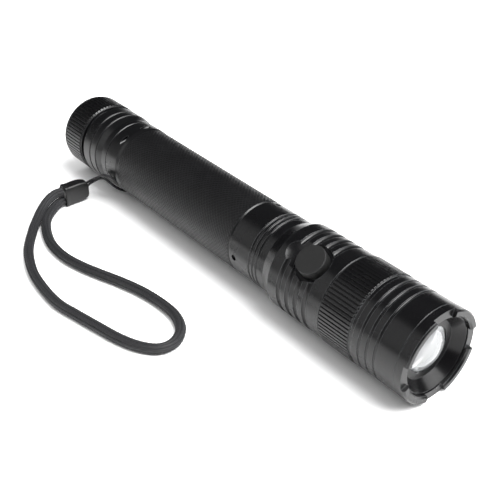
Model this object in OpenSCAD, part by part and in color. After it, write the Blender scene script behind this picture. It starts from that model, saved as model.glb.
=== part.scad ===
// Tactical flashlight with a sliding zoom head, a side button and a wrist strap.
// The light lies along X with its tail at -X and its lens at +X, and rests on the plane z = 0.

/* [Outer lengths] */
// Length of the tail cap
tail_len = 37.4; // [34.6:0.1:50]
// Length of the tube's rear collar
collar_len = 10.6; // [9:0.1:20]
// Length of the knurled grip
grip_len = 83; // [70:1:120]
// Length of the smooth neck band
neck_len = 21.3; // [18.5:0.1:30]
// Length of the cone-shaped shoulder
shoulder_len = 5.5; // [4:0.1:10]
// Length of the housing between the shoulder and the head
housing_len = 28.7; // [27:0.1:45]
// Length of the zoom head
head_len = 38.1; // [36:0.1:55]
// Length of the strike bezel in front of the head
bezel_len = 4.9; // [3.5:0.1:9]

/* [Outer diameters] */
// Diameter of the grip tube
tube_d = 32.8; // [31.5:0.1:40]
// Diameter of the collar at the tube's rear
collar_d = 33.6; // [33.2:0.1:42]
// Diameter of the neck band
neck_d = 33; // [32.6:0.1:42]
// Diameter of the tail cap's front, beside the collar
tail_front_d = 33.2; // [33:0.1:42]
// Diameter of the tail cap's smooth band
tail_band_d = 34.8; // [34:0.1:44]
// Diameter of the tail cap over its flutes
tail_grip_d = 35.2; // [34.4:0.1:44]
// Diameter of the switch housing
housing_d = 37.4; // [36.6:0.1:46]
// Diameter of the zoom head over its flutes and of the bezel
head_d = 38.2; // [37.8:0.1:48]

/* [Battery] */
// Diameter of one cell
cell_d = 26.2; // [18:0.1:26.4]
// Length of one cell with its contact
cell_len = 65.5; // [50:0.1:70]
// Radial room round a cell in the battery tube
cell_gap = 0.4; // [0.2:0.05:1]

/* [Threads and slides] */
// Pitch of the tail cap's thread
thread_pitch = 1.5; // [1:0.25:2]
// Diameter over the thread of the tube's two noses
thread_d = 30; // [29.6:0.1:31]
// Radial running clearance of threads and slides
run_gap = 0.1; // [0.05:0.01:0.15]
// Diameter of the barrel that the head slides on
barrel_d = 33.8; // [33:0.1:34.4]
// Travel of the zoom head
zoom_travel = 8; // [4:0.5:9]

/* [Button] */
// Angle of the button from the top, towards -Y
button_angle = 33.4; // [0:0.1:60]
// Diameter of the button
button_d = 12.4; // [9:0.1:12.4]
// Height of the button's face above the axis
button_h = 20.4; // [19.8:0.1:26]
// Diameter of the round pocket for the button
pocket_d = 16; // [15.6:0.1:19]
// Height of the pocket's floor above the axis
pocket_floor_h = 16.2; // [16:0.1:17]
// Travel of the button
button_travel = 1; // [0.4:0.1:1]

/* [Surface details] */
// Number of flutes round the tail cap's grip band
tail_flutes = 66; // [24:1:72]
// Number of flutes round the head's grip band
head_flutes = 74; // [24:1:80]
// Depth of the flutes
flute_depth = 0.45; // [0.2:0.05:0.6]
// Width of the thin turned grooves
thin_groove_w = 1.2; // [0.8:0.1:1.6]
// Depth of the thin turned grooves
thin_groove_depth = 0.5; // [0.2:0.05:0.6]
// Width of the housing's four wide grooves
wide_groove_w = 2.4; // [1.6:0.1:3]
// Depth of the housing's four wide grooves
wide_groove_depth = 0.9; // [0.5:0.1:1.2]
// Spacing of the housing's four wide grooves
wide_groove_pitch = 4.8; // [4:0.1:6]

/* [Bezel and lens] */
// Number of notches in the bezel
notch_count = 4; // [3:1:8]
// Angle that each notch takes
notch_angle = 32; // [15:1:40]
// Depth of the notches
notch_depth = 1.6; // [0.8:0.1:2.4]
// Diameter of the lens over its flange
lens_d = 24.2; // [23:0.1:24.6]
// Radius of the lens's domed face
lens_dome_r = 13.8; // [13.2:0.1:16]

/* [Strap] */
// Diameter of the braided wrist loop
loop_d = 4.5; // [3:0.1:5]
// Diameter of the string that ties the strap to the collar
string_d = 1.2; // [0.8:0.1:1.4]
// Diameter of the strap passages through the collar
passage_d = 2.2; // [1.8:0.1:2.4]
// Angle of the first strap passage from the top, towards -Y
passage_angle = 12; // [0:1:59]

/* [Hidden] */
$fn = 96;
eps = 0.01;

// Stations along the axis, from the tail to the bezel
total_len = tail_len + collar_len + grip_len + neck_len + shoulder_len + housing_len
    + head_len + bezel_len;
x_tail = -total_len / 2;
x_seam = x_tail + tail_len;
x_grip = x_seam + collar_len;
x_neck = x_grip + grip_len;
x_shoulder = x_neck + neck_len;
x_housing = x_shoulder + shoulder_len;
x_head = x_housing + housing_len;
x_bezel = x_head + head_len;
x_front = x_bezel + bezel_len;
axis_h = head_d / 2;

// Radii that several pieces share
cell_room_r = cell_d / 2 + cell_gap;
thread_r = thread_d / 2;
socket_r = thread_r + run_gap;
barrel_r = barrel_d / 2;
housing_r = housing_d / 2;
head_r = head_d / 2;

// Tail end, from the rear face forward
nose_len = 14.5;
tail_floor = 3;
board_t = 1.2;
ring_t = 2;
ring_in_r = cell_room_r - 2.9;
spring_r = cell_room_r - 4.3;
x_tail_board = x_tail + tail_floor;
x_tail_spring = x_tail_board + board_t;
tail_grip_len = 15.9;
tail_groove_w = 2.6;
tail_groove_depth = 1.8;
tail_rim_len = 0.9;
tail_band_len = 11;
tail_taper_len = 4;
tail_groove_x = 6;
seam_chamfer = 0.5;
neck_chamfer = 0.7;

// Cells, packed back from the driver
neck_socket_len = 12.2;
contact_len = 2.9;
x_cell_end = x_neck + neck_socket_len + 0.3;
x_cell_mid = x_cell_end - cell_len;
x_cell_start = x_cell_mid - cell_len;
nub_r = 5;
nub_len = 1.1;

// Driver, seated against a step in the housing
driver_r = thread_r - 0.75;
driver_t = 1.6;
x_driver = x_cell_end + contact_len;
x_driver_step = x_driver + driver_t;

// Housing cavities
cavity_r = 12.5;
cavity_len = 13;
core_r = 10.8;
x_core = x_driver_step + cavity_len;
barrel_wall = 2.5;
pill_r = barrel_r - barrel_wall;
x_pill = x_head + 2.7;
pill_len = 14.8;
x_led_board = x_pill + pill_len;
led_board_t = 1.6;
led_board_r = 10;
x_emitter = x_led_board + led_board_t;
barrel_len = 22.5;
x_barrel_end = x_head + barrel_len;

// Wire holes and screws of the LED board
wire_r = 0.6;
wire_hole_r = 0.9;
wire_y = 2.5;
wire_drop = 8;
screw_r = 0.95;
screw_head_r = 1.9;
screw_head_h = 1.2;
screw_len = 6;
screw_y = 7;

// Turned grooves of the housing, measured from the neck and the shoulder
neck_groove_x = 12.7;
neck_groove_pitch = 2.25;
wide_groove_x = 6.3;

// Button stack, heights above the axis
x_button = x_housing + 15.7;
button_r = button_d / 2;
button_edge = 0.35;
button_gap = 0.15;
flange_r = 7;
flange_t = 0.9;
button_ring_r = 7.8;
button_ring_t = 1.4;
button_seat_h = 12;
gasket_t = 0.6;
gasket_in_r = 4.6;
stem_hole_r = 3.4;
plunger_r = 1.7;
flange_top_h = pocket_floor_h - button_ring_t - 0.1;
flange_bottom_h = flange_top_h - flange_t;
switch_board_h = 5.6;
switch_board_t = 1;
tact_h = 3.4;
tact_w = 6;
tact_well = 2;
tact_top_h = switch_board_h + switch_board_t + tact_h;
scoop_r = 16;
scoop_back = 5;
scoop_depth = 2.3;

// Head, measured from its rear edge
land_len = 12;
stop_w = 1;
stop_r = barrel_r + 0.6;
counterbore_r = barrel_r + 0.75;
x_stop = x_head + land_len + zoom_travel + 0.2;
x_zoom_ring = x_head + land_len - 2;
head_grip_len = 15.8;
head_chamfer = 0.6;
head_groove_pitch = 3.85;
head_groove_count = 3;
head_smooth_r = head_r - 0.15;
lens_seat_t = 1.5;
lens_flange_t = 3.1;
x_lens = x_bezel - 6.6;
x_lens_flange = x_lens + lens_flange_t;
x_web = x_lens - lens_seat_t;
lens_r = lens_d / 2;
web_hole_r = lens_r - 1.3;
dome_base_r = lens_r - 1.1;
dome_drop = sqrt(lens_dome_r * lens_dome_r - dome_base_r * dome_base_r);
lens_ring_minor = 0.7;
lens_ring_r = dome_base_r + 0.43;
bezel_in_r = 16;
skirt_r = 17.1;
skirt_len = 5;
bezel_bore_r = skirt_r + run_gap;
retainer_r = bezel_in_r - run_gap;
x_lip = x_front - 2;
lip_w = 0.6;
cone_small_r = lens_r;
baffle_rise = 2 * lens_ring_minor + 0.1;
x_baffle = x_lens_flange + baffle_rise;
baffle_r = sqrt(lens_dome_r * lens_dome_r - pow(dome_drop + baffle_rise, 2)) + 0.05;
baffle_t = 0.8;

// Strap, with each route laid out by hand
string_sides = 8;
loop_sides = 10;
passage_depth = 1.5;
passage_r = collar_d / 2 - passage_depth;
x_passage = x_seam + 6.6;
passage_count = 3;
spanner_hole_d = 2.6;
spanner_hole_depth = 1;
sleeve_w = 7;
sleeve_h = 10.5;
sleeve_tip_w = 5;
sleeve_tip_h = 7;
sleeve_tip_z = 5.6;
sleeve_round = 2;
sleeve_x = -87.2;
sleeve_tip_x = -86.5;
sleeve_y_back = -35.6;
sleeve_y_taper = -27;
sleeve_y_tip = -23;
slab_t = 0.2;
string_points = [[-87, -23, 7.8], [-86.4, -21.3, 8.6], [-84, -19.8, 10.4], [-80.5, -18.8, 12.8],
    [-77, -18.9, 15.2], [-73.8, -18.9, 16.2], [-71.6, -17.8, 16], [-70.75, -16, 14],
    [-70.75, -13.7, 11.5], [-70.75, -11.4, 8.9], [-70.75, -9, 6.3], [-70.75, -6.7, 3.7],
    [-71.5, -5, 2.3], [-73.2, -4.3, 1.8], [-74.9, -5, 2], [-75.6, -6.9, 2.6], [-75.7, -9.3, 3.8],
    [-75.9, -11.8, 5.6], [-76.2, -14.1, 7.9], [-76.6, -16.2, 10.6], [-78, -17.6, 12.2],
    [-81, -18.6, 11.3], [-84.2, -20, 9], [-86.2, -21.4, 7.2], [-86.1, -23, 6.2]];
loop_points = [[-87.2, -35.6, 7.7], [-87.8, -39.6, 7.3], [-86.8, -44, 6.2], [-84.2, -48.8, 4.6],
    [-79.6, -54, 3.2], [-73, -60, 2.4], [-60, -69, 2.25], [-45, -75, 2.25], [-31, -77.5, 2.25],
    [-18, -78, 2.25], [-7, -76, 2.25], [5, -73.5, 2.25], [16, -71, 2.25], [25, -67.5, 2.25],
    [31, -62.5, 2.25], [32, -56.5, 2.25], [29, -51, 2.25], [24, -47.5, 2.25], [17, -45.5, 2.25],
    [8, -45.5, 2.25], [-3, -47, 2.25], [-14, -50, 2.25], [-24, -53.5, 2.25], [-35, -57, 2.25],
    [-46, -59, 2.25], [-58, -58.5, 2.25], [-69, -55, 2.25], [-78.2, -49.7, 2.25],
    [-84, -43.3, 2.4], [-86.4, -39.3, 2.7], [-87.2, -35.6, 2.9]];

// ---- helpers ----

// Turns a shape drawn along local Z so that it lies along the light's axis
module on_axis(x = 0) translate([x, 0, axis_h]) rotate([0, 90, 0]) children();

// Revolves an outline of [x, radius] points round the light's axis
module turned(outline)
    on_axis() rotate_extrude() polygon([for (p = outline) [p[1], p[0]]]);

// A plain disc or ring on the axis
module ring(x0, len, outer, inner = 0)
    on_axis(x0) difference() {
        cylinder(r = outer, h = len);
        if (inner > 0)
            translate([0, 0, -eps]) cylinder(r = inner, h = len + 2 * eps);
    }

// A rubber ring on the axis
module o_ring(x, major, minor)
    on_axis(x) rotate_extrude() translate([major, 0]) circle(r = minor, $fn = 32);

// Places children at an angle from the top towards -Y, with local z = height above the axis
module at_angle(x, angle) translate([x, 0, axis_h]) rotate([angle, 0, 0]) children();

// Points of a thread's ridges, as [x, radius] from x0 to x1
function ridges(x0, x1, crest, depth) = [for (i = [0 : floor((x1 - x0) / thread_pitch) - 1])
    for (p = [[0.1, crest - depth], [0.4, crest], [0.6, crest], [0.9, crest - depth]])
        [x0 + (i + p[0]) * thread_pitch, p[1]]];

// Points of a round-bottomed flute pattern
function flute_points(r, depth, count) = [for (i = [0 : count - 1])
    for (p = [[-0.3, r], [0.3, r], [0.42, r - depth], [0.58, r - depth]])
        let (a = (i + p[0]) * 360 / count) [p[1] * cos(a), p[1] * sin(a)]];

// A square groove cut round a surface of radius r
module groove_cut(x, w, r, depth) ring(x - w / 2, w, r + 2, r - depth);

// A round-bottomed groove cut round a surface of radius r
module round_groove(x, w, r, depth) {
    cut_r = (w * w / 4 + depth * depth) / (2 * depth);
    o_ring(x, r - depth + cut_r, cut_r);
}

// Smooth curve through hand-placed points
function curve_at(p, i, t) = let (a = p[max(i - 1, 0)], b = p[i], c = p[i + 1],
    d = p[min(i + 2, len(p) - 1)]) 0.5 * (2 * b + (c - a) * t
    + (2 * a - 5 * b + 4 * c - d) * t * t + (3 * b - a - 3 * c + d) * t * t * t);
function curve(p, steps) = [for (i = [0 : len(p) - 2]) for (k = [0 : steps - 1])
    curve_at(p, i, k / steps), p[len(p) - 1]];
function unit(v) = v / norm(v);

// Direction of travel at point i, with given directions at the two ends
function heading(p, i, first, last) = i == 0 ? first : i == len(p) - 1 ? last
    : unit(p[i + 1] - p[i - 1]);

// A round tube swept along points, as one closed solid
module tube_along(p, r, sides, first, last) {
    rings = [for (i = [0 : len(p) - 1]) let (t = heading(p, i, first, last),
        u = unit(cross(t, [0.1, 0.2, 1])), v = cross(u, t))
        for (k = [0 : sides - 1]) p[i] + r * (cos(k * 360 / sides) * u + sin(k * 360 / sides) * v)];
    n = len(p);
    sides_f = [for (i = [0 : n - 2]) for (k = [0 : sides - 1]) let (k2 = (k + 1) % sides)
        each [[i * sides + k, i * sides + k2, (i + 1) * sides + k2],
            [i * sides + k, (i + 1) * sides + k2, (i + 1) * sides + k]]];
    caps = [[for (k = [sides - 1 : -1 : 0]) k], [for (k = [0 : sides - 1]) (n - 1) * sides + k]];
    polyhedron(rings, concat(sides_f, caps));
}

// ---- tail cap ----
module tail_cap() color("#1c1c1e") {
    grip_end = x_tail + tail_grip_len;
    band_start = grip_end + tail_groove_w;
    band_end = band_start + tail_band_len;
    grip_r = tail_grip_d / 2;
    band_r = tail_band_d / 2;
    front_r = tail_front_d / 2;
    core_r = grip_r - flute_depth - 0.2;
    flute_start = x_tail + tail_rim_len + 0.5;
    difference() {
        union() {
            turned([[x_tail, 0], [x_tail, grip_r - 1.1], [x_tail + 0.6, grip_r - 0.5],
                [flute_start - 0.5, grip_r - 0.5], [flute_start - 0.5, core_r],
                [grip_end, core_r],
                [grip_end, band_r - tail_groove_depth], [band_start, band_r - tail_groove_depth],
                [band_start + 0.3, band_r], [band_end, band_r],
                [band_end + tail_taper_len, front_r], [x_seam - seam_chamfer, front_r],
                [x_seam, front_r - seam_chamfer], [x_seam, 0]]);
            intersection() {
                on_axis(x_tail) linear_extrude(tail_grip_len)
                    polygon(flute_points(grip_r, flute_depth, tail_flutes));
                turned([[flute_start, 0], [flute_start, core_r - 0.1],
                    [flute_start + flute_depth + 0.8, grip_r + 0.5],
                    [grip_end - 1.4, grip_r + 0.5], [grip_end - 0.1, grip_r - 0.8],
                    [grip_end - 0.1, 0]]);
            }
        }
        round_groove(band_start + tail_groove_x, thin_groove_w, band_r, thin_groove_depth);
        round_groove(band_end, thin_groove_w, band_r, thin_groove_depth);
        ring(x_tail_board, x_seam - x_tail_board + 1, cell_room_r);
        ring(x_seam - nose_len - 0.5, nose_len + 1.5, socket_r);
    }
}

module contact_retaining_ring() color("#b08d3c")
    ring(x_tail_board + board_t, ring_t, cell_room_r, ring_in_r);

module tail_contact_board() color("#1f5a38")
    ring(x_tail_board, board_t, cell_room_r);

// A cone-shaped coil with flattened end turns
module tail_spring() color("#c9c9c4") {
    wire = 0.55;
    turns = 5;
    steps = 20;
    span = x_cell_start - x_tail_spring - 2 * wire;
    points = [for (i = [0 : turns * steps]) let (t = i / (turns * steps), a = 360 * i / steps,
        r = spring_r - 4 * t, rise = span * min(1, max(0, (t - 0.15) / 0.7)))
        [x_tail_spring + wire + rise, r * cos(a), axis_h + r * sin(a)]];
    tube_along(points, wire, 6, [0, 0, 1], [0, 0, 1]);
}

module tail_o_ring() color("#2a2a2a")
    o_ring(x_seam - 2.4, thread_r - 0.75, 0.75);

// ---- battery tube ----
module battery_tube() color("#202022") {
    x_nose = x_seam - nose_len;
    x_front_nose = x_neck + neck_socket_len - 0.3;
    root_r = thread_r - 0.45;
    groove_r = thread_r - 1.5;
    collar_r = collar_d / 2;
    tube_r = tube_d / 2;
    difference() {
        turned(concat([[x_nose, cell_room_r], [x_nose, root_r]],
            ridges(x_nose + 0.6, x_seam - 4, thread_r, 0.45),
            [[x_seam - 3.6, thread_r], [x_seam - 3.4, thread_r], [x_seam - 3.4, groove_r],
                [x_seam - 1.4, groove_r], [x_seam - 1.4, thread_r], [x_seam, thread_r],
                [x_seam, collar_r - seam_chamfer], [x_seam + seam_chamfer, collar_r],
                [x_grip - 2.2, collar_r], [x_grip - 0.6, tube_r],
                [x_neck - neck_chamfer, tube_r], [x_neck, tube_r - neck_chamfer],
                [x_neck, thread_r], [x_neck + 1.2, thread_r], [x_neck + 1.2, groove_r],
                [x_neck + 3.2, groove_r], [x_neck + 3.2, thread_r], [x_neck + 3.5, thread_r]],
            ridges(x_neck + 3.6, x_front_nose - 0.4, thread_r, 0.45),
            [[x_front_nose, root_r], [x_front_nose, cell_room_r]]));
        for (i = [0 : passage_count - 1])
            at_angle(x_passage, passage_angle + i * 360 / passage_count)
                translate([0, 0, passage_r]) rotate([90, 0, 0])
                    cylinder(d = passage_d, h = collar_d, center = true);
    }
}

module cell(x0) turned([[x0, 0], [x0, cell_d / 2 - 0.6], [x0 + 0.6, cell_d / 2],
    [x0 + cell_len - nub_len - 0.6, cell_d / 2], [x0 + cell_len - nub_len, cell_d / 2 - 0.6],
    [x0 + cell_len - nub_len, nub_r], [x0 + cell_len, nub_r], [x0 + cell_len, 0]]);

module cell_rear() color("#3a6ea5") cell(x_cell_start);
module cell_front() color("#3a6ea5") cell(x_cell_mid);

module neck_o_ring() color("#2a2a2a")
    o_ring(x_neck + 2.2, thread_r - 0.75, 0.75);

// ---- switch housing ----
module switch_housing() color("#1d1d1f") {
    neck_r = neck_d / 2;
    difference() {
        turned([[x_neck, socket_r], [x_neck, neck_r - 0.3], [x_neck + 0.3, neck_r],
            [x_shoulder, neck_r], [x_housing, housing_r],
            [x_head - 0.4, housing_r], [x_head - 0.1, housing_r - 0.3],
            [x_head - 0.1, barrel_r], [x_barrel_end - 0.5, barrel_r],
            [x_barrel_end, barrel_r - 0.5], [x_barrel_end, pill_r],
            [x_pill, pill_r], [x_pill, core_r], [x_core, core_r], [x_core, cavity_r],
            [x_driver_step, cavity_r], [x_driver_step, driver_r],
            [x_neck + neck_socket_len, driver_r], [x_neck + neck_socket_len, socket_r]]);
        for (i = [0 : 2])
            round_groove(x_neck + neck_groove_x + i * neck_groove_pitch, thin_groove_w, neck_r,
                thin_groove_depth);
        for (i = [0 : 3])
            round_groove(x_housing + wide_groove_x + i * wide_groove_pitch, wide_groove_w,
                housing_r, wide_groove_depth);
        groove_cut(x_zoom_ring, 2.2, barrel_r, 1.5);
        groove_cut(x_stop + stop_w / 2, stop_w, barrel_r, 0.7);
        for (i = [0 : 2])
            at_angle(x_neck + 3.2, 94 + i * 120)
                translate([0, 0, neck_r - spanner_hole_depth])
                    cylinder(d = spanner_hole_d, h = 2 * spanner_hole_depth, $fn = 32);
        at_angle(x_button, button_angle) {
            translate([0, 0, pocket_floor_h]) cylinder(d = pocket_d, h = housing_r);
            translate([0, 0, button_seat_h]) cylinder(r = button_ring_r, h = housing_r);
            cylinder(r = stem_hole_r, h = housing_r);
            translate([-scoop_back, 0, housing_r + scoop_r - scoop_depth]) sphere(r = scoop_r);
        }
    }
}

module driver_retaining_ring() color("#b08d3c")
    ring(x_driver - 2.2, 2.2, driver_r, 11.5);

module driver_board() color("#1f5a38")
    ring(x_driver, driver_t, driver_r);

module driver_contact() color("#c8a24a")
    turned([[x_cell_end, 0], [x_cell_end, 2.2], [x_cell_end + 0.6, 2.8],
        [x_driver - 0.8, 2.8], [x_driver - 0.8, 4], [x_driver, 4], [x_driver, 0]]);

// Plastic block that fills the core below the switch board
module switch_board_holder() color("#d8d4c8")
    difference() {
        at_angle(x_button, button_angle) intersection() {
            rotate([0, 90, 0]) cylinder(r = core_r, h = 13.5, center = true);
            translate([-10, -15, -15]) cube([20, 30, 15 + switch_board_h]);
        }
        wires(x_button - 10, 20, wire_hole_r);
    }

module switch_board() color("#1f5a38")
    at_angle(x_button, button_angle)
        translate([-6.5, -7, switch_board_h]) cube([13, 14, switch_board_t]);

module tact_switch() color("#3c3c3c")
    at_angle(x_button, button_angle) difference() {
        translate([-tact_w / 2, -tact_w / 2, switch_board_h + switch_board_t])
            cube([tact_w, tact_w, tact_h]);
        translate([0, 0, tact_top_h - tact_well]) cylinder(r = plunger_r + run_gap, h = tact_h);
    }

module switch_gasket() color("#4a4a4a")
    at_angle(x_button, button_angle) translate([0, 0, button_seat_h]) difference() {
        cylinder(r = button_ring_r, h = gasket_t);
        translate([0, 0, -eps]) cylinder(r = gasket_in_r, h = gasket_t + 2 * eps);
    }

module switch_retaining_ring() color("#161617")
    at_angle(x_button, button_angle) translate([0, 0, pocket_floor_h - button_ring_t])
        difference() {
            cylinder(r = button_ring_r, h = button_ring_t);
            translate([0, 0, -eps]) cylinder(r = button_r + button_gap, h = button_ring_t + 1);
        }

// ---- button ----
module button_cap() color("#2b2b2d")
    at_angle(x_button, button_angle) rotate_extrude() polygon([[0, flange_bottom_h],
        [flange_r, flange_bottom_h], [flange_r, flange_top_h], [button_r, flange_top_h],
        [button_r, button_h - button_edge], [button_r - 0.1, button_h - 0.1],
        [button_r - button_edge, button_h], [0, button_h]]);

module switch_plunger() color("#e8e4da")
    at_angle(x_button, button_angle)
        translate([0, 0, tact_top_h - tact_well + button_travel + 0.1])
            cylinder(r = plunger_r, h = flange_bottom_h - tact_top_h + tact_well
                - button_travel - 0.1);

// ---- light engine ----
// Two straight leads, also used as the holes that they pass through
module wires(x0, len, r)
    for (side = [-1, 1])
        translate([x0, side * wire_y, axis_h - wire_drop]) rotate([0, 90, 0])
            cylinder(r = r, h = len, $fn = 24);

module led_pill() color("#b9b9bd") difference() {
    ring(x_pill, pill_len, pill_r);
    ring(x_pill - 1, pill_len - 5, 9.5);
    wires(x_pill - 1, pill_len + 2, wire_hole_r);
    screw_places() translate([0, 0, -screw_len]) cylinder(r = screw_r, h = screw_len + 1, $fn = 24);
}

module screw_places()
    for (side = [-1, 1])
        on_axis(x_led_board) translate([0, side * screw_y, 0]) children();

module led_board() color("#e6e6e2") difference() {
    ring(x_led_board, led_board_t, led_board_r);
    wires(x_led_board - 1, led_board_t + 2, wire_hole_r);
    screw_places() translate([0, 0, -1])
        cylinder(r = screw_r, h = led_board_t + 2, $fn = 24);
}

module led_emitter() color("#e9d35a") {
    translate([x_emitter, -2.5, axis_h - 2.5]) cube([0.8, 5, 5]);
    on_axis(x_emitter + 0.8) intersection() {
        sphere(r = 1.8, $fn = 48);
        cylinder(r = 2, h = 2);
    }
}

module led_centring_ring() color("#f2f0ea") difference() {
    ring(x_emitter, 1, 5);
    translate([x_emitter - 1, -2.6, axis_h - 2.6]) cube([3, 5.2, 5.2]);
}

module led_screws() color("#c4c4c8")
    screw_places() translate([0, 0, led_board_t]) difference() {
        union() {
            cylinder(r = screw_head_r, h = screw_head_h, $fn = 32);
            translate([0, 0, -led_board_t - screw_len + 1])
                cylinder(r = screw_r, h = screw_len + led_board_t - 1, $fn = 24);
        }
        translate([0, 0, screw_head_h - 0.6]) cylinder(r = 0.8, h = 1, $fn = 6);
    }

module lead_wires() color("#b3261e")
    wires(x_driver_step, x_emitter + 0.6 - x_driver_step, wire_r);

module zoom_o_ring() color("#2a2a2a")
    o_ring(x_zoom_ring, barrel_r - 0.6 + 0.05, 0.6);

module head_stop_ring() color("#8c8c90") difference() {
    ring(x_stop, stop_w, stop_r, barrel_r - 0.7);
    translate([x_stop - 1, -2, 0]) cube([stop_w + 2, 4, axis_h]);
}

// ---- zoom head ----
module head_shell() color("#1a1a1c") {
    grip_end = x_head + head_grip_len;
    first_groove = grip_end + head_chamfer + 4.4;
    core_r = head_r - flute_depth - 0.2;
    difference() {
        union() {
            turned([[x_head, 0], [x_head, core_r], [grip_end + 0.1, core_r],
                [grip_end + 0.6, head_smooth_r - 0.5], [grip_end + 1.4, head_smooth_r - 0.5],
                [grip_end + 1.6, head_smooth_r], [x_bezel - 0.15, head_smooth_r],
                [x_bezel, head_smooth_r - 0.15], [x_bezel, 0]]);
            intersection() {
                on_axis(x_head) linear_extrude(head_grip_len)
                    polygon(flute_points(head_r, flute_depth, head_flutes));
                turned([[x_head + 0.2, 0], [x_head + 0.2, head_r - 0.3],
                    [x_head + 1, head_r + 0.5], [grip_end - head_chamfer - 0.5, head_r + 0.5],
                    [grip_end - 0.1, head_r - head_chamfer + 0.1], [grip_end - 0.1, 0]]);
            }
        }
        for (i = [0 : head_groove_count - 1])
            round_groove(first_groove + i * head_groove_pitch, thin_groove_w, head_smooth_r,
                thin_groove_depth);
        ring(x_head - 1, land_len + 2, barrel_r + run_gap);
        ring(x_head + land_len, x_web - x_head - land_len, counterbore_r);
        ring(x_web - 1, lens_seat_t + 2, web_hole_r);
        ring(x_lens, lens_flange_t, lens_r);
        ring(x_lens + 1.2, x_bezel - x_lens, bezel_bore_r);
    }
}

module strike_bezel() color("#19191b") difference() {
    turned([[x_bezel - skirt_len, bezel_in_r], [x_bezel - skirt_len, skirt_r],
        [x_bezel, skirt_r], [x_bezel, head_r - 0.2], [x_bezel + 0.2, head_r],
        [x_front - 0.6, head_r], [x_front, head_r - 0.6], [x_front, bezel_in_r + 0.7],
        [x_front - 0.7, bezel_in_r]]);
    on_axis(x_front - notch_depth)
        for (i = [0 : notch_count - 1])
            rotate([0, 0, i * 360 / notch_count])
                linear_extrude(notch_depth + 1)
                    polygon([[0, 0], [2 * head_r, -2 * head_r * tan(notch_angle / 2)],
                        [2 * head_r, 2 * head_r * tan(notch_angle / 2)]]);
}

module lens() color("#dfe8ea", 0.5) {
    ring(x_lens, lens_flange_t, lens_r);
    on_axis() intersection() {
        translate([0, 0, x_lens_flange - dome_drop]) sphere(r = lens_dome_r, $fn = 128);
        translate([0, 0, x_lens_flange - eps]) cylinder(r = dome_base_r, h = 2 * lens_dome_r);
    }
}

module lens_o_ring() color("#2a2a2a")
    o_ring(x_lens_flange + lens_ring_minor, lens_ring_r, lens_ring_minor);

module lens_retainer() color("#121213")
    turned([[x_lens + 1.3, lens_r + 0.05], [x_lens + 1.3, retainer_r], [x_lip, retainer_r],
        [x_lip, retainer_r - lip_w], [x_baffle + baffle_t, cone_small_r],
        [x_baffle + baffle_t, baffle_r - 0.2], [x_baffle, baffle_r], [x_baffle, lens_r + 0.05]]);

// ---- wrist strap ----
module strap_string() color("#111112")
    tube_along(curve(string_points, 3), string_d / 2, string_sides, [0, 1, 0], [0, -1, 0]);

module strap_sleeve() color("#18181a")
    hull() {
        translate([sleeve_x, sleeve_y_back + slab_t, sleeve_h / 2]) rotate([90, 0, 0])
            rounded_slab(sleeve_w, sleeve_h, sleeve_round);
        translate([sleeve_x, sleeve_y_taper, sleeve_h / 2]) rotate([90, 0, 0])
            rounded_slab(sleeve_w, sleeve_h, sleeve_round);
        translate([sleeve_tip_x, sleeve_y_tip, sleeve_tip_z]) rotate([90, 0, 0])
            rounded_slab(sleeve_tip_w, sleeve_tip_h, sleeve_round);
    }

// A thin plate with round corners
module rounded_slab(w, h, r)
    linear_extrude(slab_t) hull()
        for (sx = [-1, 1]) for (sy = [-1, 1])
            translate([sx * (w / 2 - r), sy * (h / 2 - r)]) circle(r = r, $fn = 32);

module strap_loop() color("#1b1b1d")
    tube_along(curve(loop_points, 2), loop_d / 2, loop_sides, [0, -1, 0], [0, 1, 0]);

tail_cap();
contact_retaining_ring();
tail_contact_board();
tail_spring();
tail_o_ring();
battery_tube();
cell_rear();
cell_front();
neck_o_ring();
switch_housing();
driver_board();
driver_contact();
driver_retaining_ring();
switch_board_holder();
switch_board();
tact_switch();
switch_gasket();
switch_retaining_ring();
button_cap();
switch_plunger();
led_pill();
led_board();
led_emitter();
led_centring_ring();
led_screws();
lead_wires();
zoom_o_ring();
head_stop_ring();
head_shell();
strike_bezel();
lens();
lens_o_ring();
lens_retainer();
strap_string();
strap_sleeve();
strap_loop();
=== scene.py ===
# %% [markdown]
# # A tactical flashlight with a zoom head and a wrist strap
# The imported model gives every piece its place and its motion. This lesson gives the pieces their
# looks: the braided strap, the knurled grip, the lens, and a finish for each material. All
# lengths are metres, so a size in millimetres is written as a number times MM.

# %% Load the frame
import math

import bmesh
import bpy
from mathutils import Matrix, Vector


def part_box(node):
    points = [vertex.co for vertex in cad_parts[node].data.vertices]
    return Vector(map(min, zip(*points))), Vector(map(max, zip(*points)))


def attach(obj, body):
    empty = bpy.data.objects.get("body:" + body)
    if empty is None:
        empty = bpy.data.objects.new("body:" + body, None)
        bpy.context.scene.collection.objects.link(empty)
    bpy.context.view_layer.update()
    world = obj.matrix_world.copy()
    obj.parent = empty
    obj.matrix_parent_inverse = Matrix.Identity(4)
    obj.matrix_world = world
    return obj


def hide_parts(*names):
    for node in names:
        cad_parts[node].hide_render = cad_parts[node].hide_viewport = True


MM = 0.001
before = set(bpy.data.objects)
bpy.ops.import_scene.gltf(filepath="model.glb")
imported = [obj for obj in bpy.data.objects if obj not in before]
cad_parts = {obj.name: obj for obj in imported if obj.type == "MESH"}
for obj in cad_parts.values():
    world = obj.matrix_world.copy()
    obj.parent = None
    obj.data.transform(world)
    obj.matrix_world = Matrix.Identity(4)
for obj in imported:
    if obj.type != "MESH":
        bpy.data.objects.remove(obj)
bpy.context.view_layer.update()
axis_z = (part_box("battery_tube")[0].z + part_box("battery_tube")[1].z) / 2
print("axis height", round(axis_z / MM, 2), "mm")

# %% [markdown]
# ## Selecting and finishing
# An operator works on all that is selected, so each step starts by selecting one piece, and then
# the corners, edges or faces that it needs, found by their place. A finished piece has its
# modifiers and its place in its mesh, and its faces point outward.


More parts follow.
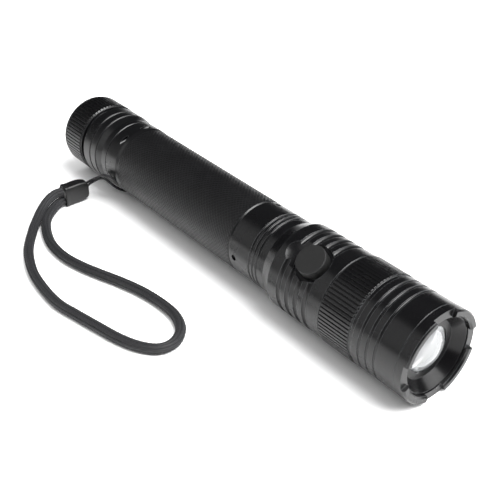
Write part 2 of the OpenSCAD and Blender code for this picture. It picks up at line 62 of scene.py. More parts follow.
# %% Select, pick and finish
def only(*objects):
    """Leaves edit mode and selects these objects alone; the first one becomes active."""
    if bpy.context.object and bpy.context.object.mode != "OBJECT":
        bpy.ops.object.mode_set(mode="OBJECT")
    bpy.ops.object.select_all(action="DESELECT")
    for o in objects:
        o.select_set(True)
    if objects:
        bpy.context.view_layer.objects.active = objects[0]


def pick(kind, test):
    """In edit mode, selects the verts, edges or faces whose place passes the test."""
    bpy.ops.mesh.select_all(action="DESELECT")
    mode = {"verts": "VERT", "edges": "EDGE", "faces": "FACE"}[kind]
    bpy.ops.mesh.select_mode(type=mode)
    mesh = bmesh.from_edit_mesh(bpy.context.object.data)
    picked = 0
    for item in getattr(mesh, kind):
        if test(item):
            item.select_set(True)
            picked += 1
    mesh.select_flush_mode()
    bmesh.update_edit_mesh(bpy.context.object.data)
    return picked


def finish_mesh(obj, angle):
    """Applies modifiers and transform, merges doubles, turns normals out, smooths up to angle."""
    only(obj)
    for modifier in list(obj.modifiers):
        bpy.ops.object.modifier_apply(modifier=modifier.name)
    bpy.ops.object.transform_apply(location=True, rotation=True, scale=True)
    bpy.ops.object.mode_set(mode="EDIT")
    bpy.ops.mesh.select_all(action="SELECT")
    bpy.ops.mesh.remove_doubles(threshold=0.001 * MM)
    bpy.ops.mesh.normals_make_consistent(inside=False)
    bpy.ops.object.mode_set(mode="OBJECT")
    bpy.ops.object.shade_smooth_by_angle(angle=math.radians(angle))
    print(obj.name, "faces", len(obj.data.polygons))
    return obj


# %% [markdown]
# ## The camera
# A longer lens from a raised three-quarter view keeps the long tube's perspective gentle. The
# camera is placed by its angle round the flashlight, its angle above the table and its distance,
# so each can be changed without upsetting the others. It looks at a point just behind the neck.

# %% Camera
view_azimuth = math.radians(50.53)
view_elevation = math.radians(34.26)
view_distance = 377 * MM
aim = Vector((16.04, -5.03, 15.02)) * MM
toward_camera = Vector((
    math.sin(view_azimuth) * math.cos(view_elevation),
    -math.cos(view_azimuth) * math.cos(view_elevation),
    math.sin(view_elevation),
))
camera_data = bpy.data.cameras.new("studio_camera")
camera_data.sensor_width = 36
camera_data.lens = 65.1
camera = bpy.data.objects.new("studio_camera", camera_data)
bpy.context.scene.collection.objects.link(camera)
camera.location = aim + toward_camera * view_distance
camera.rotation_euler = toward_camera.to_track_quat("Z", "Y").to_euler()
bpy.context.scene.camera = camera
print("camera at", [round(c, 4) for c in camera.location])

# %% [markdown]
# ## The wrist strap's two cords
# The wrist loop is a braided cord that lies on the table with both ends in a moulded sleeve, and
# a thin tie string runs from the sleeve through a passage in the tube's collar and back. Each
# route is a list of places that the cord passes, the same as the CAD solid follows, joined by a
# smooth curve.


# %% Routes of the cords, in millimetres
loop_route = [
    (-87.2, -35.6, 7.7), (-87.8, -39.6, 7.3), (-86.8, -44, 6.2), (-84.2, -48.8, 4.6),
    (-79.6, -54, 3.2), (-73, -60, 2.4), (-60, -69, 2.25), (-45, -75, 2.25), (-31, -77.5, 2.25),
    (-18, -78, 2.25), (-7, -76, 2.25), (5, -73.5, 2.25), (16, -71, 2.25), (25, -67.5, 2.25),
    (31, -62.5, 2.25), (32, -56.5, 2.25), (29, -51, 2.25), (24, -47.5, 2.25), (17, -45.5, 2.25),
    (8, -45.5, 2.25), (-3, -47, 2.25), (-14, -50, 2.25), (-24, -53.5, 2.25), (-35, -57, 2.25),
    (-46, -59, 2.25), (-58, -58.5, 2.25), (-69, -55, 2.25), (-78.2, -49.7, 2.25),
    (-84, -43.3, 2.4), (-86.4, -39.3, 2.7), (-87.2, -35.6, 2.9),
]
string_route = [
    (-87, -23, 7.8), (-86.4, -21.3, 8.6), (-84, -19.8, 10.4), (-80.5, -18.8, 12.8),
    (-77, -18.9, 15.2), (-73.8, -18.9, 16.2), (-71.6, -17.8, 16), (-70.75, -16, 14),
    (-70.75, -13.7, 11.5), (-70.75, -11.4, 8.9), (-70.75, -9, 6.3), (-70.75, -6.7, 3.7),
    (-71.5, -5, 2.3), (-73.2, -4.3, 1.8), (-74.9, -5, 2), (-75.6, -6.9, 2.6), (-75.7, -9.3, 3.8),
    (-75.9, -11.8, 5.6), (-76.2, -14.1, 7.9), (-76.6, -16.2, 10.6), (-78, -17.6, 12.2),
    (-81, -18.6, 11.3), (-84.2, -20, 9), (-86.2, -21.4, 7.2), (-86.1, -23, 6.2),
]


def smooth_route(points, spacing, fine_steps=40):
    """A smooth curve through the points, as places a steady distance apart, in metres."""
    p = [Vector(q) * MM for q in points]
    dense = []
    for i in range(len(p) - 1):
        a, b, c, d = p[max(i - 1, 0)], p[i], p[i + 1], p[min(i + 2, len(p) - 1)]
        for k in range(fine_steps):
            t = k / fine_steps
            dense.append(0.5 * (2 * b + (c - a) * t + (2 * a - 5 * b + 4 * c - d) * t ** 2
                                + (3 * b - a - 3 * c + d) * t ** 3))
    dense.append(p[-1])
    total = sum((b - a).length for a, b in zip(dense, dense[1:]))
    count = round(total / spacing)
    places, walked, k = [dense[0]], 0.0, 0
    for n in range(1, count):
        goal = total * n / count
        while walked + (dense[k + 1] - dense[k]).length < goal:
            walked += (dense[k + 1] - dense[k]).length
            k += 1
        step = dense[k + 1] - dense[k]
        places.append(dense[k] + step * ((goal - walked) / step.length))
    places.append(dense[-1])
    return places, total


print("places given: loop", len(loop_route), "string", len(string_route))

# %% [markdown]
# ### From a route to a cord
# A plain bevelled curve with a bump pattern would keep a straight outline, but a braid's plaits
# are 1 to 2 mm wide and show there. So rings of points are carried along the route without
# twisting, and each point is pushed in or out by where it falls on a plait. The UV map is
# unrolled in metres, so that the yarn's pattern can follow the cord.


# %% Cord with a relief
def cord_mesh(name, places, around, height):
    """A tube along the places; height(share round, metres along) gives each point's radius."""
    mesh, rings, along = bmesh.new(), [], 0.0
    uv = mesh.loops.layers.uv.new("UVMap")
    side = Vector((0, 0, 1))
    girth = 2 * math.pi * height(0, 0)
    spots = {}
    for i, place in enumerate(places):
        ahead = (places[min(i + 1, len(places) - 1)] - places[max(i - 1, 0)]).normalized()
        side = (side - ahead * side.dot(ahead)).normalized()
        other = ahead.cross(side)
        if i:
            along += (place - places[i - 1]).length
        ring = []
        for k in range(around):
            share = k / around
            turn = 2 * math.pi * share
            reach = height(share, along)
            v = mesh.verts.new(place + (side * math.cos(turn) + other * math.sin(turn)) * reach)
            spots[v] = (share * girth, along)
            ring.append(v)
        rings.append(ring)
    for low, high in zip(rings, rings[1:]):
        for k in range(around):
            n = (k + 1) % around
            face = mesh.faces.new((low[k], low[n], high[n], high[k]))
            for loop in face.loops:
                u, v = spots[loop.vert]
                loop[uv].uv = (u + (girth if n == 0 and loop.vert in (low[n], high[n]) else 0), v)
    mesh.faces.new(list(reversed(rings[0])))
    mesh.faces.new(rings[-1])
    made = bpy.data.meshes.new(name)
    mesh.to_mesh(made)
    mesh.free()
    obj = bpy.data.objects.new(name, made)
    bpy.context.scene.collection.objects.link(obj)
    return finish_mesh(obj, angle=60)


# %% [markdown]
# ### The wrist loop
# A braid of this kind shows columns of slanting stitches that lean opposite ways side by side,
# with a narrow valley between columns and a shallower dip between stitches.

# %% Wrist loop, a braided cord
loop_diameter = 4.5 * MM
loop_columns = 8
stitch_len = 1.7 * MM
stitch_lean = 0.42  # how far a stitch slants across its column, as a share of its length
plait_relief = 0.42 * MM
stitch_share = 0.28  # how much of the relief is the dip between stitches


def plait(share, along):
    """Radius of the braid: columns of slanting stitches, leaning opposite ways side by side."""
    column = share * loop_columns
    inside = column % 1
    lean = 1 if int(column) % 2 else -1
    phase = along / stitch_len + stitch_lean * lean * (inside - 0.5)
    column_round = math.sin(math.pi * inside) ** 0.55
    stitch_round = abs(math.sin(math.pi * phase)) ** 0.45
    fullness = column_round * (1 - stitch_share + stitch_share * stitch_round)
    return loop_diameter / 2 - plait_relief * (1 - fullness)


loop_places, loop_length = smooth_route(loop_route, 0.34 * MM)
wrist_loop = cord_mesh("wrist_loop", loop_places, loop_columns * 6, plait)
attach(wrist_loop, "body")
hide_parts("strap_loop")
print("wrist loop length", round(loop_length / MM, 1), "mm")

# %% [markdown]
# ### The tie string
# The string is too thin for a braid and is laid like a rope: three strands wind round each other,
# so its section has three soft lobes that turn along its length.

# %% Tie string, three strands laid together
string_diameter = 1.2 * MM
strands = 3
lay_len = 2.6 * MM
strand_relief = 0.2  # as a share of the radius


def laid(share, along):
    """Radius of a three-strand string, whose strands wind round each other."""
    strand = (share * strands + along / lay_len * strands) % 1
    fullness = math.sin(math.pi * strand) ** 0.7
    return string_diameter / 2 * (1 - strand_relief + strand_relief * fullness)


string_places, string_length = smooth_route(string_route, 0.22 * MM)
tie_string = cord_mesh("tie_string", string_places, 24, laid)
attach(tie_string, "body")
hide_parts("strap_string")
print("tie string length", round(string_length / MM, 1), "mm")

# %% [markdown]
# ## The strap's sleeve
# A soft moulded sleeve grips both ends of the loop and the string's knot. It is a rounded box
# that tapers towards the string, with a lip at the loop's end. It could be cut from a block with
# bevels, but a moulding has no straight edge, so a cube is bisected where its section changes,
# the sections are sized one by one, the mouth is inset and pushed in, and subdivision rounds it
# all.

# %% Sleeve
sleeve_low, sleeve_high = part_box("strap_sleeve")
sleeve_mid = (sleeve_low + sleeve_high) / 2
sleeve_size = sleeve_high - sleeve_low
only()
bpy.ops.mesh.primitive_cube_add(size=1, location=sleeve_mid)
cord_sleeve = bpy.context.object
cord_sleeve.name = "cord_sleeve"
cord_sleeve.scale = sleeve_size
bpy.ops.object.transform_apply(location=True, rotation=True, scale=True)
bpy.ops.object.mode_set(mode="EDIT")
sections = [  # distance from the loop's end, width share, height share, shift in x and in z, in mm
    (0.4, 1, 1, 0, 0), (1.3, 1, 1, 0, 0), (1.6, 0.95, 0.96, 0, 0), (5, 0.97, 0.97, 0, 0),
    (8.4, 0.96, 0.96, 0, 0), (10.5, 0.88, 0.88, 0.2, 0.1), (12, 0.76, 0.76, 0.6, 0.3),
]
for back, *_ in sections:
    bpy.ops.mesh.select_all(action="SELECT")
    bpy.ops.mesh.bisect(plane_co=(0, sleeve_low.y + back * MM, 0), plane_no=(0, 1, 0))
for x in (-0.25, 0.25):
    bpy.ops.mesh.select_all(action="SELECT")
    bpy.ops.mesh.bisect(plane_co=(sleeve_mid.x + x * sleeve_size.x, 0, 0), plane_no=(1, 0, 0))
print("sleeve", [round(s / MM, 1) for s in sleeve_size], "mm, sections", len(sections))

# %% Size the sleeve's sections and open its mouth
sections += [(0, 0.97, 0.97, 0, 0), (sleeve_size.y / MM, 0.62, 0.64, 0.7, 0.35)]
for back, wide, high, right, up in sections:
    y = sleeve_low.y + back * MM
    pick("verts", lambda v: abs(v.co.y - y) < 0.01 * MM)
    bpy.ops.transform.resize(value=(wide, 1, high),
                             center_override=(sleeve_mid.x, y, sleeve_mid.z))
    bpy.ops.transform.translate(value=(right * MM, 0, up * MM))
pick("faces", lambda f: f.normal.y < -0.9)
lip_width, mouth_depth, mouth_draft = 0.6 * MM, 1.2 * MM, 0.2 * MM
bpy.ops.mesh.inset(thickness=lip_width, depth=0)
bpy.ops.mesh.inset(thickness=mouth_draft, depth=-mouth_depth)
bpy.ops.object.mode_set(mode="OBJECT")
print("sleeve cage faces", len(cord_sleeve.data.polygons))

# %% Round the sleeve
rounding = cord_sleeve.modifiers.new("rounding", "SUBSURF")
rounding.levels = rounding.render_levels = 3
finish_mesh(cord_sleeve, angle=50)
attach(cord_sleeve, "body")
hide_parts("strap_sleeve")

# %% [markdown]
# ### What the cords are
# Both cords here begin and end on the flashlight.

print("cords declared:", wrist_loop.name, tie_string.name)

# %% [markdown]
# ## The knurled grip
# Knurling rolls two sets of slanting grooves into the tube, which leaves rows of small diamonds
# with worn flat tops. A fine bump could fake it, but the diamonds are almost 2 mm long and catch
# light one by one, so they are modelled: a cylinder's grid loses every second corner, each
# diamond that is left is inset and raised, and the tube's own smooth wall stays below.

# %% Knurl
neck_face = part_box("switch_housing")[0].x
grip_start = neck_face - 83 * MM
grip_end = neck_face - 0.7 * MM  # a narrow turned relief is left before the neck
grip_len = grip_end - grip_start
knurl_radius = 16.5 * MM
knurl_height = 0.11 * MM
knurl_gap = 0.3 * MM  # the slope between a diamond's foot and its flat top
knurl_around = 108
knurl_rows = 88
only()
bpy.ops.mesh.primitive_cylinder_add(
    vertices=knurl_around, radius=knurl_radius, depth=grip_len, end_fill_type="NOTHING",
    location=((grip_start + grip_end) / 2, 0, axis_z), rotation=(0, math.pi / 2, 0))
knurl = bpy.context.object
knurl.name = "grip_knurl"
bpy.ops.object.transform_apply(location=True, rotation=True, scale=True)
knurl_step = 2 * math.pi / knurl_around
first_turn = math.atan2(knurl.data.vertices[0].co.z - axis_z, knurl.data.vertices[0].co.y)
bpy.ops.object.mode_set(mode="EDIT")
pick("edges", lambda e: abs(e.verts[0].co.x - e.verts[1].co.x) > 1 * MM)
bpy.ops.mesh.subdivide(number_cuts=knurl_rows - 1)


def knurl_place(co):
    """Row and column of a corner of the grid."""
    row = round((co.x - grip_start) / grip_len * knurl_rows)
    return row, round((math.atan2(co.z - axis_z, co.y) - first_turn) / knurl_step)


print("knurl grid", knurl_around, "x", knurl_rows, "over", round(grip_len / MM, 1), "mm")

# %% Cut the diamonds and raise them
valley_share = 0.996  # the valleys' radius as a share of the grip's
pick("verts", lambda v: sum(knurl_place(v.co)) % 2 == 1)
bpy.ops.transform.resize(value=(1, valley_share, valley_share), center_override=(0, 0, axis_z))
bpy.ops.mesh.select_all(action="SELECT")
bpy.ops.mesh.quads_convert_to_tris(quad_method="SHORTEST_DIAGONAL")
diamonds = pick("verts", lambda v: sum(knurl_place(v.co)) % 2 == 0
                and 0 < knurl_place(v.co)[0] < knurl_rows)
bpy.ops.mesh.dissolve_verts()
bpy.ops.mesh.select_all(action="SELECT")
bpy.ops.mesh.inset(thickness=knurl_gap, depth=knurl_height, use_individual=True)
bpy.ops.object.mode_set(mode="OBJECT")
finish_mesh(knurl, angle=20)
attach(knurl, "body")
print("diamonds", diamonds)

# %% [markdown]
# ## The lens
# The lens is a thick moulded dome with a flat back and a flange that the retainer holds. A sphere
# cut by a plane would need its flange joined on, and the CAD solid has facets that refraction
# would show, so a finer one is turned: one vertex is pulled along half the outline, and the line
# is spun.


# %% Turning by spinning an outline
def turned_piece(name, outline, steps):
    """Pulls one vertex along (x, radius) points in mm and spins the line round the tube's axis."""
    only()
    bpy.ops.mesh.primitive_plane_add(size=1 * MM, location=(0, 0, 0))
    obj = bpy.context.object
    obj.name = name
    bpy.ops.object.mode_set(mode="EDIT")
    bpy.ops.mesh.select_all(action="SELECT")
    bpy.ops.mesh.merge(type="CENTER")
    start = Vector((outline[0][0] * MM, 0, axis_z + outline[0][1] * MM))
    bpy.ops.transform.translate(value=start)
    for (x0, r0), (x1, r1) in zip(outline, outline[1:]):
        bpy.ops.mesh.extrude_region_move(
            TRANSFORM_OT_translate={"value": ((x1 - x0) * MM, 0, (r1 - r0) * MM)})
    bpy.ops.mesh.select_all(action="SELECT")
    bpy.ops.mesh.spin(steps=steps, angle=2 * math.pi, center=(0, 0, axis_z), axis=(1, 0, 0))
    bpy.ops.object.mode_set(mode="OBJECT")
    return obj


# %% Lens
lens_low, lens_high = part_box("lens")
lens_x = lens_low.x / MM
lens_tip = lens_high.x / MM
lens_r = (lens_high.z - lens_low.z) / 2 / MM
flange_t = 3.1  # the flange's thickness, width and rounded edge, in mm
flange_w = 1.1
flange_edge = 0.3
arc_steps = 24
dome_r = lens_r - flange_w
dome_h = lens_tip - lens_x - flange_t
ball_r = (dome_h ** 2 + dome_r ** 2) / (2 * dome_h)
half_angle = math.asin(dome_r / ball_r)
arc = [(lens_tip - ball_r + ball_r * math.cos(half_angle * (1 - k / arc_steps)),
        ball_r * math.sin(half_angle * (1 - k / arc_steps))) for k in range(arc_steps)]
flat_back = [(lens_x, 0), (lens_x, 4), (lens_x, 8), (lens_x, lens_r - flange_edge)]
flange = [(lens_x + flange_edge, lens_r), (lens_x + flange_t, lens_r),
          (lens_x + flange_t, dome_r + 0.05)]
lens_piece = turned_piece("lens_dome", flat_back + flange + arc + [(lens_tip, 0)], steps=128)
finish_mesh(lens_piece, angle=40)
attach(lens_piece, "zoom_head")
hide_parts("lens")
print("dome radius", round(dome_r, 2), "mm, height", round(dome_h, 2), "mm")

# %% [markdown]
# ## Materials
# Each finish starts from what the real one is made of. Colours are written as sRGB hex values and
# turned linear once, and one function adds a node with its settings and its links.


# %% Colour and node helpers
def linear(hex_colour):
    """An sRGB hex colour as the linear RGBA that Blender's sockets take."""
    parts = [int(hex_colour[i:i + 2], 16) / 255 for i in (1, 3, 5)]
    return [p / 12.92 if p <= 0.04045 else ((p + 0.055) / 1.055) ** 2.4 for p in parts] + [1]


def add(tree, kind, inputs=(), **settings):
    """Adds a node, sets its properties, and sets or links its inputs."""
    made = tree.nodes.new("ShaderNode" + kind)
    for key, value in settings.items():
        setattr(made, key, value)
    for key, value in dict(inputs).items():
        if isinstance(value, bpy.types.NodeSocket):
            tree.links.new(value, made.inputs[key])
        else:
            made.inputs[key].default_value = value
    return made


def new_material(name, **shader):
    """A material with a Principled shader whose uniform values sit on its own sockets."""
    material = bpy.data.materials.new(name)
    material.use_nodes = True
    tree = material.node_tree
    tree.nodes.clear()
    surface = add(tree, "BsdfPrincipled", {k.replace("_", " "): v for k, v in shader.items()})
    out = add(tree, "OutputMaterial")
    tree.links.new(surface.outputs[0], out.inputs["Surface"])
    return material, tree, surface


def per_mm(size):
    """Texture scale that makes one cell of a pattern this many millimetres."""
    return 1 / (size * MM)


print("mid grey #808080 is", round(linear("#808080")[0], 3), "in linear light")

# %% [markdown]
# ### Black anodised aluminium
# The body is machined aluminium, bead blasted and hard anodised black. The dyed oxide layer is
# like a dark glass over metal: little colour of its own and a soft satin sheen. A thin pale line
# is painted on the turned rims, partly where the layer wears and partly a painted highlight for
# light caught on the rounded edges. So the shader is a dielectric and not a metal. The Bevel
# node rounds edges for the shading alone, and how far it tips the normal along the tube also says
# where a turned rim is. The blasted grain is about 0.1 mm and is drawn at 0.5 mm, to show at all.


# %% Anodised finishes
def anodised(name, colour, wear_highlight_colour, roughness, grain=0.5, edge=0.22, lines=0.0, wear_highlight_strength=0.5, gloss=0.5):
    """Satin anodised aluminium; grain, turned lines and the edges' rounding are in mm."""
    material, tree, surface = new_material(name, IOR=1.54, Metallic=0.0, Specular_IOR_Level=gloss)
    place = add(tree, "TexCoord").outputs["Object"]
    cloud = add(tree, "TexNoise", {"Vector": place, "Scale": per_mm(14), "Detail": 3})
    speckle = add(tree, "TexNoise", {"Vector": place, "Scale": per_mm(grain), "Detail": 2})
    rounded = add(tree, "Bevel", {"Radius": edge * MM}, samples=6)
    flat = add(tree, "NewGeometry")
    tilt = add(tree, "VectorMath", {0: rounded.outputs[0], 1: flat.outputs["Normal"]},
               operation="SUBTRACT")
    lengthwise = add(tree, "SeparateXYZ", {0: tilt.outputs["Vector"]})
    amount = add(tree, "Math", {0: lengthwise.outputs["X"]}, operation="ABSOLUTE")
    # Pale line on the turned rims: partly wear of the layer, partly a painted highlight
    wear_highlight_rims = add(tree, "MapRange", {"Value": amount.outputs[0], "From Min": 0.08,
                                     "From Max": 0.4, "To Min": 0.0, "To Max": wear_highlight_strength})
    patchy = add(tree, "MapRange", {"Value": cloud.outputs["Fac"], "From Min": 0.35,
                                    "From Max": 0.65, "To Min": 0.35, "To Max": 1.0})
    wear_highlight_amount = add(tree, "Math", {0: wear_highlight_rims.outputs[0], 1: patchy.outputs[0]},
                    operation="MULTIPLY")
    tone = add(tree, "Mix", {"Factor": wear_highlight_amount.outputs[0], "A": linear(colour),
                             "B": linear(wear_highlight_colour)}, data_type="RGBA")
    tree.links.new(tone.outputs["Result"], surface.inputs["Base Color"])
    rough = add(tree, "MapRange", {"Value": cloud.outputs["Fac"], "From Min": 0.3, "From Max": 0.7,
                                   "To Min": roughness - 0.035, "To Max": roughness + 0.035})
    tree.links.new(rough.outputs[0], surface.inputs["Roughness"])
    bumpy = add(tree, "Bump", {"Height": speckle.outputs["Fac"], "Normal": rounded.outputs[0],
                               "Strength": 0.25, "Distance": 0.02 * MM})
    if lines:
        # The wave texture turns 20 radians per unit of scale, so lines is the width of a radian
        # and a whole wave is 6.3 times as wide. Real feed marks are too fine to show.
        feed = add(tree, "TexWave", {"Vector": place, "Scale": per_mm(lines) / 20,
                                     "Distortion": 0.4, "Detail": 1},
                   wave_type="BANDS", bands_direction="X")
        bumpy = add(tree, "Bump", {"Height": feed.outputs["Fac"], "Normal": bumpy.outputs[0],
                                   "Strength": 0.18, "Distance": 0.02 * MM})
    tree.links.new(bumpy.outputs[0], surface.inputs["Normal"])
    return material


# %% Anodised pieces
# Head and switch housing: smoothest outer pieces, brightest rims of wear and painted highlight
black_anodised = anodised("black_anodised_aluminium", "#0a0a0b", "#b4b6b9", 0.27, lines=0.5,
                          wear_highlight_strength=0.3, gloss=0.33)
# Tail cap and tube's collar: a shade rougher, with dimmer rims of wear and painted highlight
black_tail = anodised("black_anodised_tail", "#0a0a0b", "#85878a", 0.3, lines=0.5, wear_highlight_strength=0.2,
                      gloss=0.4)
# Knurl: no turned lines, small faces that scatter light, faint rims of wear and painted highlight
black_knurl = anodised("black_anodised_knurl", "#0a0a0b", "#6a6c6f", 0.4, edge=0.1, wear_highlight_strength=0.2,
                       gloss=0.3)
# The inner rings are untouched by hands, so smooth and dark; their pale rims are painted highlight
retainer_black = anodised("black_anodised_smooth", "#0b0b0c", "#85878a", 0.24, lines=0.4,
                          edge=0.15, gloss=0.2)
print("anodised finishes:", [m.name for m in bpy.data.materials if "anodised" in m.name])

# %% [markdown]
# ### Rubber, metals, boards and plastics
# The button, the strap's sleeve and the pieces inside are small and each of one material. A
# material built by hand for each would only repeat itself, so one function builds them all: a
# tone that moves between two near colours, a roughness that moves with a fine grain, and that
# grain as relief. They differ in colour, gloss, grain size and metalness. Grains finer than 0.3
# mm are drawn at 0.3 mm.


# %% Shared finish for the small pieces
def finish(name, low, high, roughness, grain, metallic=0.0, **shader):
    """A surface whose tone moves between two near colours, with a fine relief of grain mm."""
    material, tree, surface = new_material(name, Metallic=metallic, **shader)
    place = add(tree, "TexCoord").outputs["Object"]
    cloud = add(tree, "TexNoise", {"Vector": place, "Scale": per_mm(5), "Detail": 4})
    fine = add(tree, "TexNoise", {"Vector": place, "Scale": per_mm(grain), "Detail": 3})
    tone = add(tree, "Mix", {"Factor": cloud.outputs["Fac"], "A": linear(low), "B": linear(high)},
               data_type="RGBA")
    tree.links.new(tone.outputs["Result"], surface.inputs["Base Color"])
    rough = add(tree, "MapRange", {"Value": fine.outputs["Fac"], "From Min": 0.3, "From Max": 0.7,
                                   "To Min": roughness - 0.06, "To Max": roughness + 0.06})
    tree.links.new(rough.outputs[0], surface.inputs["Roughness"])
    bumpy = add(tree, "Bump", {"Height": fine.outputs["Fac"], "Strength": 0.4,
                               "Distance": 0.02 * MM})
    tree.links.new(bumpy.outputs[0], surface.inputs["Normal"])
    return material


# %% Rubbers
# Moulded silicone is matt and a little soft, so the light on the button spreads wide
button_rubber = finish("moulded_silicone_rubber_button", "#131313", "#191919", 0.55, 0.4, IOR=1.43)
# Moulded thermoplastic rubber is shinier than silicone, with a fine grain from its mould
sleeve_rubber = finish("moulded_tpe_sleeve", "#0a0a0b", "#101011", 0.42, 0.5, IOR=1.5)
# Nitrile rubber is a dark grey with a dull, greased shine
ring_rubber = finish("nitrile_rubber_ring", "#141415", "#1c1c1e", 0.45, 0.6, IOR=1.52)
# Silicone sheet is a milky mid grey without a clear highlight
gasket_silicone = finish("grey_silicone_gasket", "#7d8083", "#8a8d90", 0.5, 0.6, IOR=1.41)
print("rubbers:", button_rubber.name, sleeve_rubber.name, ring_rubber.name, gasket_silicone.name)

# %% Metals
# Turned brass is warm and bright, with fine marks of the tool
brass = finish("turned_brass", "#c9a24c", "#d8b566", 0.28, 0.3, metallic=1.0)
# Nickel plating gives spring steel a cool, bright silver
spring_steel = finish("nickel_plated_spring_steel", "#b8b9bb", "#cfd0d2", 0.25, 0.5, metallic=1.0)
# Bare turned aluminium is as pale as nickel, and softer in its shine
bare_aluminium = finish("turned_bare_aluminium", "#b9babc", "#cdced0", 0.34, 0.3, metallic=1.0)
print("metals:", brass.name, spring_steel.name, bare_aluminium.name)

# %% Boards and emitter
# Green solder mask is a smooth lacquer, dark where the board shows through
board_green = finish("green_soldermask_board", "#0f4a2c", "#15603a", 0.3, 0.8, IOR=1.5)
# White solder mask is nearly pure white, to throw the emitter's light forward
board_white = finish("white_soldermask_board", "#e4e5e2", "#f0f0ee", 0.35, 0.8, IOR=1.5)
# The phosphor is a fine yellow powder set in silicone, matt and even
emitter_phosphor = finish("yellow_phosphor_emitter", "#d9c24a", "#ecd96c", 0.4, 0.3, IOR=1.5)
print("board and emitter:", board_green.name, board_white.name, emitter_phosphor.name)

# %% Plastics
# Natural nylon is a waxy, warm white
natural_plastic = finish("natural_nylon", "#e6e1d2", "#efebdf", 0.42, 0.7, IOR=1.53)
# Moulded black ABS is a neutral near black with an even satin
dark_plastic = finish("black_abs", "#161617", "#1f1f21", 0.4, 0.5, IOR=1.53)
# Heat-shrunk film over a cell is smooth and glossy, with faint ripples
cell_wrap = finish("shrink_wrapped_cell", "#20405f", "#28507a", 0.25, 1.5, IOR=1.54)
# The leads' PVC insulation is a strong red with a soft shine
wire_red = finish("pvc_insulated_lead", "#8f1712", "#a81f18", 0.4, 0.8, IOR=1.53)
print("plastics:", natural_plastic.name, dark_plastic.name, cell_wrap.name, wire_red.name)

# %% [markdown]
# ### Braided nylon
# The cords are black polyamide yarn. Light catches the tops of the stitches and sinks between
# them, and the yarn's fibres give it a faint sheen. The pattern follows the cord through its UV
# map, whose units are metres. It is turned by 35 degrees and stretched, because yarn slants
# across a plait. The fibres are drawn at 0.25 mm, as real ones are too fine to show.

# %% Cord material
nylon_braid, tree, surface = new_material(
    "black_nylon_braid", IOR=1.53, Sheen_Weight=0.08, Sheen_Roughness=0.5)
surface.inputs["Sheen Tint"].default_value = linear("#8a8c90")
yarn = add(tree, "Mapping", {"Vector": add(tree, "TexCoord").outputs["UV"],
                             "Rotation": (0, 0, math.radians(35)), "Scale": (1, 0.22, 1)})
fibre = add(tree, "TexNoise", {"Vector": yarn.outputs[0], "Scale": per_mm(0.25), "Detail": 2})
dust = add(tree, "TexNoise", {"Vector": yarn.outputs[0], "Scale": per_mm(3), "Detail": 2})
tone = add(tree, "Mix", {"Factor": fibre.outputs["Fac"], "A": linear("#060607"),
                         "B": linear("#1d1d20")}, data_type="RGBA")
tree.links.new(tone.outputs["Result"], surface.inputs["Base Color"])
rough = add(tree, "MapRange", {"Value": dust.outputs["Fac"], "From Min": 0.3, "From Max": 0.7,
                               "To Min": 0.62, "To Max": 0.8})
tree.links.new(rough.outputs[0], surface.inputs["Roughness"])
bumpy = add(tree, "Bump", {"Height": fibre.outputs["Fac"], "Strength": 0.5, "Distance": 0.05 * MM})
tree.links.new(bumpy.outputs[0], surface.inputs["Normal"])
print(nylon_braid.name, "has", len(tree.nodes), "nodes")

# %% [markdown]
# ### Moulded acrylic
# The lens is clear acrylic, polished by its mould, with a thin hard coat. It bends the light like
# glass, so what is seen in it is the emitter and the cone behind. Full transmission would show
# only those, so a part of the surface scatters light in a near white: a painted reflection that
# stands in for the bright lights and the white board seen through the lens.

# %% Lens material
lens_glass, tree, surface = new_material(
    "moulded_optical_acrylic", IOR=1.49, Transmission_Weight=0.7, Coat_Weight=0.5,
    Coat_Roughness=0.02)
place = add(tree, "TexCoord").outputs["Object"]
lens_mottle = add(tree, "TexNoise", {"Vector": place, "Scale": per_mm(14), "Detail": 1})
rough = add(tree, "MapRange", {"Value": lens_mottle.outputs["Fac"], "To Min": 0.02, "To Max": 0.04})
tree.links.new(rough.outputs[0], surface.inputs["Roughness"])
# Near white base: painted reflection standing in for the bright lights and the white board inside
tone = add(tree, "Mix", {"Factor": lens_mottle.outputs["Fac"], "A": linear("#dfe2e3"),
                         "B": linear("#f3f4f5")}, data_type="RGBA")
tree.links.new(tone.outputs["Result"], surface.inputs["Base Color"])
print(lens_glass.name, "has", len(tree.nodes), "nodes")

# %% [markdown]
# ## Finishes on pieces
# Each piece has one finish, as it is made of one stock. A list by finish shows at a glance what
# is made of what, and what is left over is printed, so that no piece stays bare.

# %% What is made of what
finishes = {
    black_anodised: ["switch_housing", "head_shell", "strike_bezel"],
    black_tail: ["tail_cap", "battery_tube"],
    retainer_black: ["lens_retainer", "driver_retaining_ring", "contact_retaining_ring",
                     "switch_retaining_ring"],
    button_rubber: ["button_cap"],
    ring_rubber: ["tail_o_ring", "neck_o_ring", "zoom_o_ring", "lens_o_ring"],
    gasket_silicone: ["switch_gasket"],
    brass: ["driver_contact"],
    spring_steel: ["tail_spring", "head_stop_ring", "led_screws"],
    bare_aluminium: ["led_pill"],
    board_green: ["tail_contact_board", "driver_board", "switch_board"],
    board_white: ["led_board"],
    emitter_phosphor: ["led_emitter"],
    natural_plastic: ["led_centring_ring", "switch_plunger"],
    dark_plastic: ["switch_board_holder", "tact_switch"],
    cell_wrap: ["cell_rear", "cell_front"],
    wire_red: ["lead_wires"],
    nylon_braid: ["strap_string", "strap_loop"],
    sleeve_rubber: ["strap_sleeve"],
    lens_glass: ["lens"],
}
left = set(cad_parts) - {n for names in finishes.values() for n in names}
print("nodes without a finish:", sorted(left))


# %% Give every piece its finish
def give(piece, material):
    """Makes this the only material of a piece."""
    piece.data.materials.clear()
    piece.data.materials.append(material)


for material, names in finishes.items():
    for name in names:
        give(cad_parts[name], material)
give(wrist_loop, nylon_braid)
give(tie_string, nylon_braid)
give(cord_sleeve, sleeve_rubber)
give(knurl, black_knurl)
give(lens_piece, lens_glass)
print("finishes in use:", len(finishes) + 1)

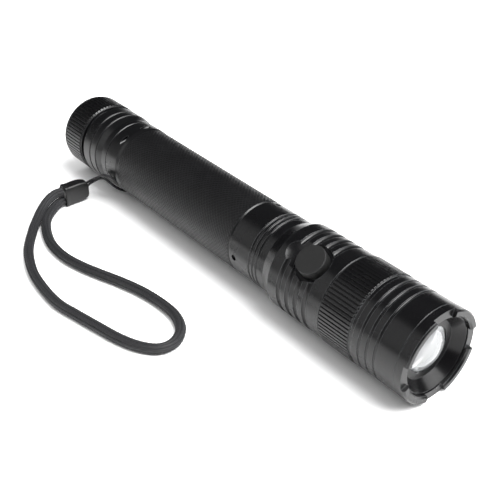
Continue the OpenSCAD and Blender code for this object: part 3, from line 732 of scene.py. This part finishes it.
# %% [markdown]
# ## Floor and light
# Black satin metal is lit by what it mirrors. The pale floor gives the lower flank its grey, a
# dim room keeps the top dark, and large soft lights over and in front of the head draw bright
# faces on all that points forward. The floor is plain matt paper, far wider than the flashlight.

# %% Floor
only()
bpy.ops.mesh.primitive_plane_add(size=6, location=(0, 0, -0.01 * MM))
floor = bpy.context.object
floor.name = "studio_floor"
paper, tree, surface = new_material("matte_white_paper", Roughness=0.9)
surface.inputs["Base Color"].default_value = linear("#f4f4f4")
floor.data.materials.append(paper)
print("floor at", round(floor.location.z / MM, 2), "mm")


# %% Lights
def softbox(name, place, look_at, size, power):
    """A square area light that faces a point; places and size in metres, power in watts."""
    data = bpy.data.lights.new(name, "AREA")
    data.size = size
    data.energy = power
    light = bpy.data.objects.new(name, data)
    bpy.context.scene.collection.objects.link(light)
    light.location = place
    light.rotation_euler = (Vector(place) - Vector(look_at)).to_track_quat("Z", "Y").to_euler()
    return light


softbox("overhead", (0.5, 0.2, 1.0), (0.05, -0.03, 0), 0.8, 26)
softbox("front_right", (0.8, 0.55, 0.5), (0.1, 0, 0.02), 0.6, 6)
softbox("left_fill", (-0.5, -1.0, 0.7), (0, 0, 0), 1.2, 4)

# %% [markdown]
# ### White floor and backdrop
# The softboxes alone leave the floor grey far from the flashlight, and stronger ones would wash
# out the black. A sun as wide as the sky whitens the floor evenly instead, and is hidden from
# glossy rays, so the metal doesn't mirror it. In the same way the room is dim for all that it
# lights, and white only where it is looked at.

# %% Floor wash
wash_data = bpy.data.lights.new("floor_wash", "SUN")
wash_data.energy = 2.6
wash_data.angle = math.radians(100)
floor_wash = bpy.data.objects.new("floor_wash", wash_data)
bpy.context.scene.collection.objects.link(floor_wash)
floor_wash.visible_glossy = False
print(floor_wash.name, "strength", round(wash_data.energy, 2))

# %% Room
world = bpy.data.worlds.new("studio_room")
bpy.context.scene.world = world
world.use_nodes = True
tree = world.node_tree
dim_room = tree.nodes["Background"]
dim_room.inputs["Color"].default_value = (0.02, 0.02, 0.021, 1)
backdrop = add(tree, "Background", {"Color": linear("#f6f6f6"), "Strength": 1.1})
seen = add(tree, "MixShader", {"Fac": add(tree, "LightPath").outputs["Is Camera Ray"]})
tree.links.new(dim_room.outputs[0], seen.inputs[1])
tree.links.new(backdrop.outputs[0], seen.inputs[2])
tree.links.new(seen.outputs[0], tree.nodes["World Output"].inputs["Surface"])
bpy.context.scene.view_settings.view_transform = "Standard"
print(world.name, "has", len(tree.nodes), "nodes")

# %% [markdown]
# ## Finish
# The script ends with nothing selected.

# %% Clear the selection
only()
